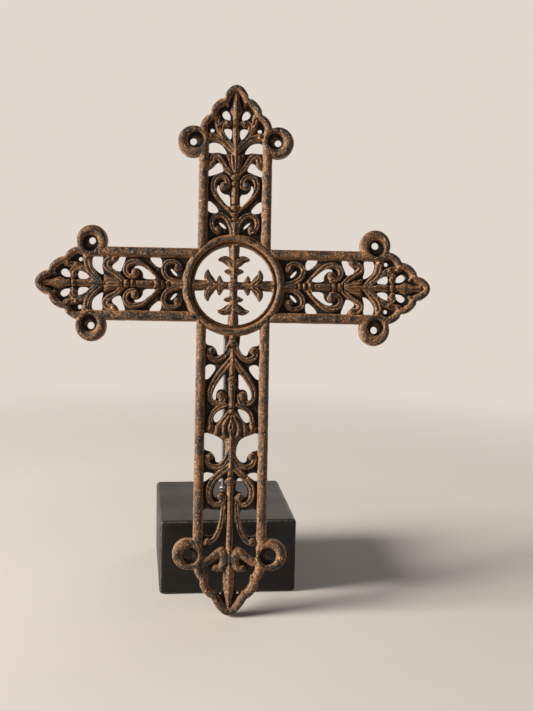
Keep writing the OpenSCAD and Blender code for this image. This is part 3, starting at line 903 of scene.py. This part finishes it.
def iron_material(finish):
    """Old cast iron: rusty walls, a darker brown skin, and black paint in the recesses and in patches."""
    n = Nodes("Rusted iron with old paint")
    crest, deep, wall = n.attribute("crest"), n.attribute("deep"), n.attribute("wall")
    patches = n.noise(55, 5, 0.6, 0.4)
    mottle = n.noise(260, 5, 0.65)
    sand = n.noise(780, 3, 0.6)
    pits = n.node("ShaderNodeTexVoronoi", {"Vector": n.place, "Scale": 620.0, "Randomness": 1.0})

    # From brown to rust in patches, with more rust on the upright walls.
    rusty = n.range(n.add(n.times(patches, 0.6), n.times(mottle, 0.5)), 0.46, 0.7)
    skin = n.mix(rusty, finish.brown, finish.rust)
    skin = n.mix(n.range(n.add(wall, n.times(mottle, 0.5)), 0.3, 0.75, 0.0, 0.72), skin, finish.rust)
    # Black paint on the crests and in flakes, which the walls have fewer of.
    rubbed = n.range(n.uneven(crest, mottle, 1.3), 0.66, 0.95)
    skin = n.mix(n.times(rubbed, 0.85), skin, finish.crest)
    flakes = n.add(n.times(n.noise(95, 4, 0.6, 0.5), 0.62), n.times(mottle, 0.38))
    flaked = n.range(n.math("SUBTRACT", flakes, n.times(wall, 0.16)), 0.49, 0.55, 0, 0.92)
    skin = n.mix(flaked, skin, finish.crest)
    # Pale tan specks, partly the sandy skin and partly painted glints of light off its grains, then the paint
    # of the recesses, and a fine grain over all of it.
    specks = n.times(n.range(sand, 0.56, 0.7), n.range(n.noise(180, 3), 0.4, 0.6, 0.1, 0.75))
    skin = n.mix(specks, skin, finish.specks)
    painted = n.range(n.uneven(deep, patches, 0.9), 0.42, 0.72)
    skin = n.mix(painted, skin, finish.paint)
    skin = n.mix(1.0, skin, n.range(sand, 0.32, 0.68, 0.4, 1.5), "MULTIPLY")

    rough = n.math("SUBTRACT", n.range(mottle, 0.3, 0.7, 0.58, 0.46), n.times(rubbed, 0.1))
    n.set(Base_Color=skin, Roughness=n.add(rough, n.times(painted, 0.2)), Metallic=0.0,
          Specular_IOR_Level=0.26)
    n.bump([(mottle, 0.75, 0.001), (pits.outputs["Distance"], 0.4, 0.0005), (sand, 1.0, 0.0007)])
    return n.material


def wood_material(finish):
    """Black satin paint on wood, with the grain showing through and worn edges."""
    n = Nodes("Black painted wood")
    grain = n.noise(1.0, 6, 0.6, 0.6, n.stretched((14, 260, 260)))
    specks = n.noise(420, 3, 0.6)
    dust = n.noise(22, 4, 0.6)
    base = n.mix(n.range(grain, 0.35, 0.7), finish.wood, tuple(c * 1.9 for c in finish.wood))
    edge = n.range(n.uneven(n.attribute("worn"), specks, 1.2), 0.75, 1.05)
    base = n.mix(n.times(edge, 0.8), base, finish.bare_wood)
    rough = n.add(n.range(dust, 0.3, 0.7, 0.34, 0.5), n.times(edge, 0.25))
    n.set(Base_Color=base, Roughness=rough, Specular_IOR_Level=0.27)
    n.bump([(grain, 0.35, 0.0005), (specks, 0.25, 0.0002)])
    return n.material


ROD_ROUGHNESS, PLATED_ROUGHNESS = 0.38, 0.24


def metal_material(name, colour, roughness, drawn):
    """Worn plain metal with fine marks; drawn metal has them along its length."""
    n = Nodes(name)
    marks = n.noise(1.0, 4, 0.6, 0.0, n.stretched((1800, 1800, 160) if drawn else (900, 900, 900)))
    stains = n.noise(130, 4, 0.6)
    n.set(Base_Color=n.mix(n.range(stains, 0.45, 0.75), colour, tuple(c * 0.45 for c in colour)),
          Roughness=n.range(stains, 0.3, 0.75, roughness, roughness + 0.25), Metallic=1.0)
    n.bump([(marks, 0.3, 0.0001)])
    return n.material


def rubber_material():
    """Dusty matt black rubber."""
    n = Nodes("Matt rubber")
    dust = n.noise(300, 4, 0.6)
    n.set(Base_Color=n.mix(n.range(dust, 0.4, 0.8), (0.012, 0.012, 0.012), (0.045, 0.043, 0.04)),
          Roughness=n.range(dust, 0.3, 0.7, 0.75, 0.92))
    n.bump([(n.noise(1500, 2), 0.3, 0.0001)])
    return n.material


def floor_material(stage):
    """Plain pale floor, darker far off where only its light on the object counts."""
    n = Nodes("Pale floor")
    pale = stage.floor_colour
    near = n.mix(n.range(n.noise(5, 3), 0.3, 0.7), pale, tuple(c * 0.97 for c in pale))
    n.set(Base_Color=n.mix(n.range(n.away(), 0.35, 1.4), near, tuple(c * 0.3 for c in pale)), Roughness=0.85)
    n.bump([(n.noise(900, 3, 0.6), 0.05, 0.0002)])
    n.pale_backdrop(stage.backdrop_colour)
    return n.material


# ---- Pieces ----

# Colour fields of the casting: how high a ridge counts as a full crest, in millimetres, how far up the depth
# the recesses reach, and their share in the paint.
CREST_HEIGHT = 1.2
DEEP_REACH = 0.75
DEEP_SHARE = 0.8
# Grid of the block: cuts along an edge, and how strongly they gather towards the corners.
BLOCK_CUTS = 63
BLOCK_GATHER = 1.7
# Wear of the block's edges: share of the edge radius, its mean and its range, the waves it varies with in
# radians per metre, and how far the bare wood reaches round an edge.
WEAR, WEAR_MEAN, WEAR_RANGE = 0.035, 1.5, (-1.5, 2.5)
WEAR_WAVES = (60, 110, 190, 320, 500)
WEAR_SEED = 3
BARE_REACH = 1.4
HOLE_SIDES = 48
BEND_STEPS = 16
LATHE_SIDES = 64
# Nuts and washer.
NUT_SIDES = 96
NUT_HALF_FLATS = 2.75 * MM
NUT_CHAMFER = 0.42 * MM
BORE_FLARE, BORE_SINK = 0.2 * MM, 0.15 * MM
WASHER_EDGE = 0.12 * MM
PAD_THICKNESS, PAD_EDGE, PAD_STEPS = 4 * MM, 0.5 * MM, 6


class CastingBuilder(bpy.types.Operator):
    """Sculpts the cast iron cross and leans it into its place"""

    bl_idname = "grave_cross.casting"
    bl_label = "Casting"

    def execute(self, context):
        settings = context.scene.cross_casting
        points, quads, (xs, ys, crest) = sculpt(settings)
        mesh = mesh_from("cross_relief", points, quads)
        if signed_volume(mesh) < 0:
            mesh.flip_normals()
        casting = object_from("cross_relief", mesh)
        decimate = casting.modifiers.new("thin", "DECIMATE")
        decimate.ratio = settings.triangles / (2 * len(quads))
        decimate.use_collapse_triangulate = True
        apply_modifiers(casting)
        mesh = casting.data
        shade_smooth(mesh)

        local = vertex_array(mesh)
        facing = vertex_array(mesh, "normal")[:, 2]
        i = np.clip(np.searchsorted(xs, local[:, 0]), 0, len(xs) - 1)
        j = np.clip(np.searchsorted(ys, local[:, 1]), 0, len(ys) - 1)
        ridge = crest[i, j] * np.clip(facing * 1.5, 0, 1)
        store(mesh, "crest", np.clip(0.5 + ridge / (2 * CREST_HEIGHT), 0, 1) * (facing > 0))
        # The back keeps little paint, so its recesses fade out.
        recess = np.clip(1 - local[:, 2] / (DEEP_REACH * settings.depth / MM), 0, 1)
        store(mesh, "deep", DEEP_SHARE * recess * np.clip(1.4 + 2 * facing, 0, 1) + np.clip(-ridge, 0, 0.5))
        store(mesh, "wall", 1 - np.abs(facing))

        low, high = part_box("cross")
        lean = settings.lean
        place = Vector(((low.x + high.x) / 2,
                        low.y + settings.foot_length * sin(lean) + settings.depth * cos(lean),
                        settings.foot_length * cos(lean)))
        mesh.vertices.foreach_set("co", lean_back(local, lean, place).ravel())
        mesh.update()
        paint(casting, iron_material(context.scene.cross_finish))
        finish_piece(casting, "iron", "cross")
        return {"FINISHED"}


class BlockBuilder(bpy.types.Operator):
    """Makes the black wood block with its worn edges and the rod's hole"""

    bl_idname = "grave_cross.block"
    bl_label = "Block"

    def execute(self, context):
        stand = context.scene.cross_stand
        half = np.array((stand.block_width, stand.block_depth, stand.block_height)) / 2
        mesh = bpy.data.meshes.new("wood_block")
        with edited(mesh) as bm:
            bmesh.ops.create_cube(bm, size=2)
            bmesh.ops.subdivide_edges(bm, edges=bm.edges[:], cuts=BLOCK_CUTS, use_grid_fill=True)
        cube = vertex_array(mesh)
        places = np.sign(cube) * (1 - (1 - np.abs(cube)) ** BLOCK_GATHER) * half
        places, corner = self.wear_edges(places, half, stand.block_edge)
        turned = Matrix.Rotation(stand.block_turn, 3, "Z")
        places = places @ np.array(turned).T
        places[:, 2] += half[2]
        mesh.vertices.foreach_set("co", places.ravel())
        store(mesh, "worn", np.clip(corner * BARE_REACH, 0, 1))
        mesh.update()
        shade_smooth(mesh)
        block = object_from("wood_block", mesh)
        self.drill(block, stand)
        paint(block, wood_material(context.scene.cross_finish))
        finish_piece(block, "black_wood", "block")
        return {"FINISHED"}

    def wear_edges(self, places, half, edge):
        """Rounds the edges, a little unevenly; also says how near each point is to an edge's middle."""
        core = np.clip(places, -(half - edge), half - edge)
        out = places - core
        length = np.linalg.norm(out, axis=1, keepdims=True)
        rng = np.random.default_rng(WEAR_SEED)
        uneven = sum(np.sin(places @ rng.normal(0, f, 3) + rng.uniform(0, 6)) for f in WEAR_WAVES)
        corner = np.sort(np.abs(out) / edge, axis=1)[:, 1]
        worn = WEAR * np.clip(corner, 0, 1)[:, None] * (WEAR_MEAN + np.clip(uneven, *WEAR_RANGE)[:, None])
        rounding = out / np.maximum(length, 1e-9) * (edge * (1 - worn))
        return core + np.where(length > 0, rounding, 0), corner

    def drill(self, block, stand):
        """Cuts the rod's hole from above."""
        low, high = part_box("rod")
        radius = stand.rod_diameter / 2 + stand.rod_fit
        mouth = ((low.x + high.x) / 2, high.y - stand.rod_diameter / 2, stand.block_height)
        hole = bpy.data.meshes.new("hole")
        with edited(hole) as bm:
            bmesh.ops.create_cone(bm, cap_ends=True, segments=HOLE_SIDES, radius1=radius, radius2=radius,
                                  depth=2 * (stand.block_height - low.z))
            bmesh.ops.translate(bm, verts=bm.verts, vec=mouth)
        cutter = object_from("hole", hole)
        cut = block.modifiers.new("drill", "BOOLEAN")
        cut.object = cutter
        cut.operation = "DIFFERENCE"
        apply_modifiers(block)
        bpy.data.objects.remove(cutter)


# ---- Geometry nodes ----

ROD_SIDES = 32
# Thread: steps in a turn, sides of the bead, and its radius as a share of the pitch.
THREAD_STEPS, THREAD_SIDES, THREAD_SHARE = 24, 6, 0.28


class GeometryTree(Tree):
    """A geometry node tree with named inputs; underscores in the names given stand for spaces."""

    def __init__(self, name, **inputs):
        super().__init__(bpy.data.node_groups.new(name, "GeometryNodeTree"))
        interface = self.tree.interface
        interface.new_socket("Geometry", in_out="OUTPUT", socket_type="NodeSocketGeometry")
        self.ids = {}
        for label, kind in {"Geometry": "Geometry", **inputs, "Material": "Material"}.items():
            label = label.replace("_", " ")
            self.ids[label] = interface.new_socket(
                label, in_out="INPUT", socket_type="NodeSocket" + kind).identifier
        self.given = self.node("NodeGroupInput").outputs

    def finish(self, geometry):
        """Ends the tree: makes its result real and gives it the material."""
        real = self.node("GeometryNodeRealizeInstances", {"Geometry": geometry})
        coloured = self.node("GeometryNodeSetMaterial", {
            "Geometry": real, "Material": self.given["Material"]})
        self.link(coloured.outputs[0], self.node("NodeGroupOutput").inputs[0])

    def run(self, made, values):
        """Runs the tree on an object and keeps the result as plain mesh."""
        modifier = made.modifiers.new(self.tree.name, "NODES")
        modifier.node_group = self.tree
        for label, value in values.items():
            modifier[self.ids[label]] = value
        apply_modifiers(made)


def rod_tree():
    """A round rod along a path, with a raised thread round its foot."""
    t = GeometryTree("Rod along a path", Diameter="Float", Thread_Start="Vector", Thread_Length="Float",
                     Pitch="Float")
    radius = t.times(t.given["Diameter"], 0.5)
    path = t.node("GeometryNodeMeshToCurve", {"Mesh": t.given["Geometry"]})
    round_bar = t.node("GeometryNodeCurvePrimitiveCircle", {"Resolution": ROD_SIDES, "Radius": radius})
    rod = t.node("GeometryNodeCurveToMesh", {"Curve": path, "Profile Curve": round_bar, "Fill Caps": True})
    helix = t.node("GeometryNodeCurveSpiral", {
        "Resolution": THREAD_STEPS, "Rotations": t.math("DIVIDE", t.given["Thread Length"], t.given["Pitch"]),
        "Start Radius": radius, "End Radius": radius, "Height": t.given["Thread Length"]})
    bead = t.node("GeometryNodeCurvePrimitiveCircle", {
        "Resolution": THREAD_SIDES, "Radius": t.times(t.given["Pitch"], THREAD_SHARE)})
    thread = t.node("GeometryNodeCurveToMesh", {"Curve": helix, "Profile Curve": bead, "Fill Caps": True})
    placed = t.node("GeometryNodeTransform", {"Geometry": thread, "Translation": t.given["Thread Start"]})
    joined = t.node("GeometryNodeJoinGeometry")
    for part in (placed, rod):
        t.link(part.outputs[0], joined.inputs[0])
    t.finish(t.node("GeometryNodeSetShadeSmooth", {"Geometry": joined}))
    return t


class RodBuilder(bpy.types.Operator):
    """Runs the steel rod up from the block, round its bend and along to the pad"""

    bl_idname = "grave_cross.rod"
    bl_label = "Rod"

    def execute(self, context):
        stand, lean = context.scene.cross_stand, context.scene.cross_casting.lean
        low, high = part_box("rod")
        radius, bend = stand.rod_diameter / 2, stand.rod_bend
        x, y = (low.x + high.x) / 2, high.y - radius
        # The end face leans with the casting: its lowest point is a radius below its middle, along the lean.
        end = Vector((x, low.y + radius * sin(lean), high.z - radius * cos(lean)))
        bend_y = y - bend + bend * sin(lean)
        bend_z = end.z - (bend_y - end.y) * tan(lean)
        top = bend_z - bend * cos(lean)
        route = [(x, y, low.z), (x, y, top)]
        for k in range(1, BEND_STEPS + 1):
            angle = (pi / 2 - lean) * k / BEND_STEPS
            route.append((x, y - bend * (1 - cos(angle)), top + bend * sin(angle)))
        route.append(tuple(end))
        mesh = bpy.data.meshes.new("steel_rod")
        mesh.from_pydata(route, [(k, k + 1) for k in range(len(route) - 1)], [])
        rod = object_from("steel_rod", mesh)
        rod_tree().run(rod, {
            "Diameter": stand.rod_diameter,
            "Thread Start": (x, y, stand.block_height),
            "Thread Length": stand.thread_length,
            "Pitch": stand.thread_pitch,
            "Material": metal_material("Drawn steel", context.scene.cross_finish.steel, ROD_ROUGHNESS, True)})
        finish_piece(rod, "steel", "rod")
        return {"FINISHED"}


def lathe(name, profile, sides, shape=lambda radius, angle: radius):
    """Turns a closed profile of (radius, height) about the Z axis; shape may change each radius."""
    points, faces = [], []
    count = len(profile)
    for k in range(sides):
        angle = 2 * pi * k / sides
        here, following = k * count, (k + 1) % sides * count
        for m, (radius, height) in enumerate(profile):
            r, after = shape(radius, angle), (m + 1) % count
            points.append((r * cos(angle), r * sin(angle), height))
            faces.append((here + m, following + m, following + after, here + after))
    mesh = mesh_from(name, points, faces)
    with edited(mesh) as bm:
        bmesh.ops.remove_doubles(bm, verts=bm.verts, dist=1e-7)
        bmesh.ops.dissolve_degenerate(bm, edges=bm.edges, dist=1e-7)
        bmesh.ops.recalc_face_normals(bm, faces=bm.faces)
    return mesh


def hexagon(radius, angle):
    """Cuts the outer radii of a nut down to its flats."""
    corner = (angle % (pi / 3)) - pi / 6
    return min(radius, NUT_HALF_FLATS / cos(corner)) if radius > NUT_HALF_FLATS * 0.9 else radius


def nut_tree():
    """Sets a nut at both points of a line."""
    t = GeometryTree("Nuts on a rod", Foot="Vector", Spacing="Float", Turn="Float", Nut="Object")
    line = t.node("GeometryNodeMeshLine", {
        "Count": 2, "Start Location": t.given["Foot"],
        "Offset": t.node("ShaderNodeCombineXYZ", {"Z": t.given["Spacing"]})})
    source = t.node("GeometryNodeObjectInfo", {"Object": t.given["Nut"]})
    turned = t.times(t.node("GeometryNodeInputIndex"), t.given["Turn"])
    t.finish(t.node("GeometryNodeInstanceOnPoints", {
        "Points": line, "Instance": source.outputs["Geometry"],
        "Rotation": t.node("ShaderNodeCombineXYZ", {"Z": turned})}))
    return t


class HardwareBuilder(bpy.types.Operator):
    """Makes the washer and the two nuts on the rod's foot"""

    bl_idname = "grave_cross.hardware"
    bl_label = "Washer and nuts"

    def execute(self, context):
        finish = context.scene.cross_finish
        plated = metal_material("Bright plated steel", finish.zinc, PLATED_ROUGHNESS, False)
        stand = context.scene.cross_stand
        bore = stand.rod_diameter / 2 + stand.rod_fit

        low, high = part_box("washer")
        outer, thick, edge = (high.x - low.x) / 2, high.z - low.z, WASHER_EDGE
        middle = (low + high) / 2
        mesh = lathe("washer_ring", [
            (bore, 0), (outer - edge, 0), (outer, edge), (outer, thick - edge), (outer - edge, thick),
            (bore + edge, thick), (bore, thick - edge)], LATHE_SIDES)
        mesh.transform(Matrix.Translation((middle.x, middle.y, low.z)))
        washer = object_from("washer_ring", mesh)
        paint(washer, plated)
        finish_piece(washer, "steel", "washer")

        low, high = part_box("nut_lower")
        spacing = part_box("nut_upper")[0].z - low.z
        tall = high.z - low.z
        corner, flare = NUT_HALF_FLATS / cos(pi / 6), bore + BORE_FLARE
        rounded = corner - 2.0 * NUT_CHAMFER * tan(pi / 6)
        mesh = lathe("nut", [
            (bore, BORE_SINK), (flare, 0), (rounded, 0), (corner, NUT_CHAMFER), (corner, tall - NUT_CHAMFER),
            (rounded, tall), (flare, tall), (bore, tall - BORE_SINK)], NUT_SIDES, hexagon)
        source = object_from("nut", mesh)
        nuts = object_from("nuts", bpy.data.meshes.new("nuts"))
        nut_tree().run(nuts, {
            "Foot": ((low.x + high.x) / 2, (low.y + high.y) / 2, low.z), "Spacing": spacing,
            "Turn": 0.0, "Nut": source, "Material": plated})
        bpy.data.objects.remove(source)
        finish_piece(nuts, "steel", "nut_lower", "nut_upper")
        return {"FINISHED"}


class PadBuilder(bpy.types.Operator):
    """Makes the rubber pad between the rod and the casting"""

    bl_idname = "grave_cross.pad"
    bl_label = "Pad"

    def execute(self, context):
        stand, lean = context.scene.cross_stand, context.scene.cross_casting.lean
        low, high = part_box("pad")
        middle = (low + high) / 2
        radius, top, edge = (high.x - low.x) / 2, PAD_THICKNESS / 2, PAD_EDGE
        bore = stand.rod_diameter / 2 + stand.rod_fit
        corner = [(radius - edge * (1 - sin(a)), top - edge * (1 - cos(a))) for a in
                  (pi / 2 * k / PAD_STEPS for k in range(PAD_STEPS + 1))]
        mesh = lathe("rubber_pad", [(0, top)] + corner + [
            (radius, edge - top), (radius - edge, -top), (bore, -top), (bore, 0), (0, 0)], LATHE_SIDES)
        mesh.transform(Matrix.Translation(middle) @ Matrix.Rotation(pi / 2 - lean, 4, "X"))
        shade_smooth(mesh)
        pad = object_from("rubber_pad", mesh)
        paint(pad, rubber_material())
        finish_piece(pad, "rubber", "pad")
        return {"FINISHED"}


# ---- Stage ----

FLOOR_RADIUS, COVE_RADIUS, WALL_TOP = 2.4, 1.2, 3.2
FLOOR_SIDES, FLOOR_RINGS, COVE_STEPS = 96, 6, 12
LAMP_TARGET = (0, -0.06, 0.22)
# Lamps: name, place, diameter, colour; their powers are settings.
KEY_LAMP = ("Window", (-2.6, -0.84, 1.1), 1.4, (1.0, 0.95, 0.88))
FILL_LAMP = ("Fill", (0.6, -1.7, 0.9), 1.2, (1.0, 0.97, 0.94))
BACK_LAMP = ("Back", (0.9, 1.5, 1.1), 1.4, (1.0, 0.97, 0.94))
SKY_COLOUR = (1.0, 0.975, 0.95, 1)
SENSOR_WIDTH = 36


def area_lamp(lamp, watts):
    name, place, size, shade = lamp
    data = bpy.data.lights.new(name, "AREA")
    data.shape, data.size, data.energy, data.color = "DISK", size, watts, shade
    made = object_from(name, data)
    made.location = place
    made.rotation_euler = (Vector(LAMP_TARGET) - Vector(place)).to_track_quat("-Z", "Y").to_euler()


def floor_mesh():
    """A round floor that rises through a cove to an upright wall."""
    quarter = [pi / 2 * k / COVE_STEPS for k in range(1, COVE_STEPS + 1)]
    profile = [(FLOOR_RADIUS * k / FLOOR_RINGS, 0) for k in range(FLOOR_RINGS + 1)]
    profile += [(FLOOR_RADIUS + COVE_RADIUS * sin(a), COVE_RADIUS * (1 - cos(a))) for a in quarter]
    profile += [(FLOOR_RADIUS + COVE_RADIUS, WALL_TOP)]
    sides, count = FLOOR_SIDES, len(profile)
    points = [(r * cos(2 * pi * k / sides), r * sin(2 * pi * k / sides), z) for k in range(sides)
              for r, z in profile]
    faces = [(k * count + m, k * count + m + 1, (k + 1) % sides * count + m + 1, (k + 1) % sides * count + m)
             for k in range(sides) for m in range(count - 1)]
    mesh = mesh_from("floor", points, faces)
    with edited(mesh) as bm:
        bmesh.ops.remove_doubles(bm, verts=bm.verts, dist=1e-6)
    shade_smooth(mesh)
    return mesh


def place_camera(stage):
    """Sets the camera by its place and its yaw, pitch and roll from the +Y direction."""
    camera = bpy.data.cameras.new("Camera")
    camera.lens = stage.lens
    camera.sensor_width = SENSOR_WIDTH
    camera.dof.use_dof = False
    yaw, pitch, roll = stage.camera_yaw, stage.camera_pitch, stage.camera_roll
    ahead = Vector((sin(yaw) * cos(pitch), cos(yaw) * cos(pitch), -sin(pitch)))
    right = Vector((cos(yaw), -sin(yaw), 0))
    up = right.cross(ahead)
    rolled_right = cos(roll) * right + sin(roll) * up
    rolled_up = cos(roll) * up - sin(roll) * right
    facing = Matrix((rolled_right, rolled_up, -ahead)).transposed()
    made = object_from("Camera", camera)
    made.matrix_world = Matrix.Translation(stage.camera_place) @ facing.to_4x4()
    bpy.context.scene.camera = made


class StageBuilder(bpy.types.Operator):
    """Lays the pale floor that rises to a round backdrop, and sets the lamps and the camera"""

    bl_idname = "grave_cross.stage"
    bl_label = "Stage"

    def execute(self, context):
        stage = context.scene.cross_stage
        floor = object_from("floor", floor_mesh())
        paint(floor, floor_material(stage))
        area_lamp(KEY_LAMP, stage.key_power)
        area_lamp(FILL_LAMP, stage.fill_power)
        area_lamp(BACK_LAMP, stage.back_power)
        world = bpy.data.worlds.new("Plain sky")
        context.scene.world = world
        world.use_nodes = True
        background = world.node_tree.nodes["Background"]
        background.inputs["Color"].default_value = SKY_COLOUR
        background.inputs["Strength"].default_value = stage.sky
        place_camera(stage)
        context.scene.view_settings.view_transform = "Standard"
        return {"FINISHED"}


class CrossPanel(bpy.types.Panel):
    """Lists the steps that build the object"""

    bl_idname = "VIEW3D_PT_grave_cross"
    bl_label = "Grave Cross"
    bl_space_type = "VIEW_3D"
    bl_region_type = "UI"
    bl_category = "Grave Cross"

    def draw(self, context):
        for step in STEPS:
            self.layout.operator(step.bl_idname)
        for name in SETTINGS:
            group = getattr(context.scene, name)
            box = self.layout.box()
            for key in group.__annotations__:
                box.prop(group, key)


SETTINGS = {"cross_casting": CastingSettings, "cross_stand": StandSettings, "cross_finish": FinishSettings,
            "cross_stage": StageSettings}
STEPS = (CastingBuilder, BlockBuilder, RodBuilder, HardwareBuilder, PadBuilder, StageBuilder)


def register():
    for made in (*SETTINGS.values(), *STEPS, CrossPanel):
        bpy.utils.register_class(made)
    for name, group in SETTINGS.items():
        setattr(bpy.types.Scene, name, PointerProperty(type=group))


def unregister():
    for name in SETTINGS:
        delattr(bpy.types.Scene, name)
    for made in reversed((*SETTINGS.values(), *STEPS, CrossPanel)):
        bpy.utils.unregister_class(made)


def main():
    """Builds everything."""
    register()
    bpy.ops.grave_cross.casting()
    bpy.ops.grave_cross.block()
    bpy.ops.grave_cross.rod()
    bpy.ops.grave_cross.hardware()
    bpy.ops.grave_cross.pad()
    bpy.ops.grave_cross.stage()


if __name__ == "__main__":
    main()
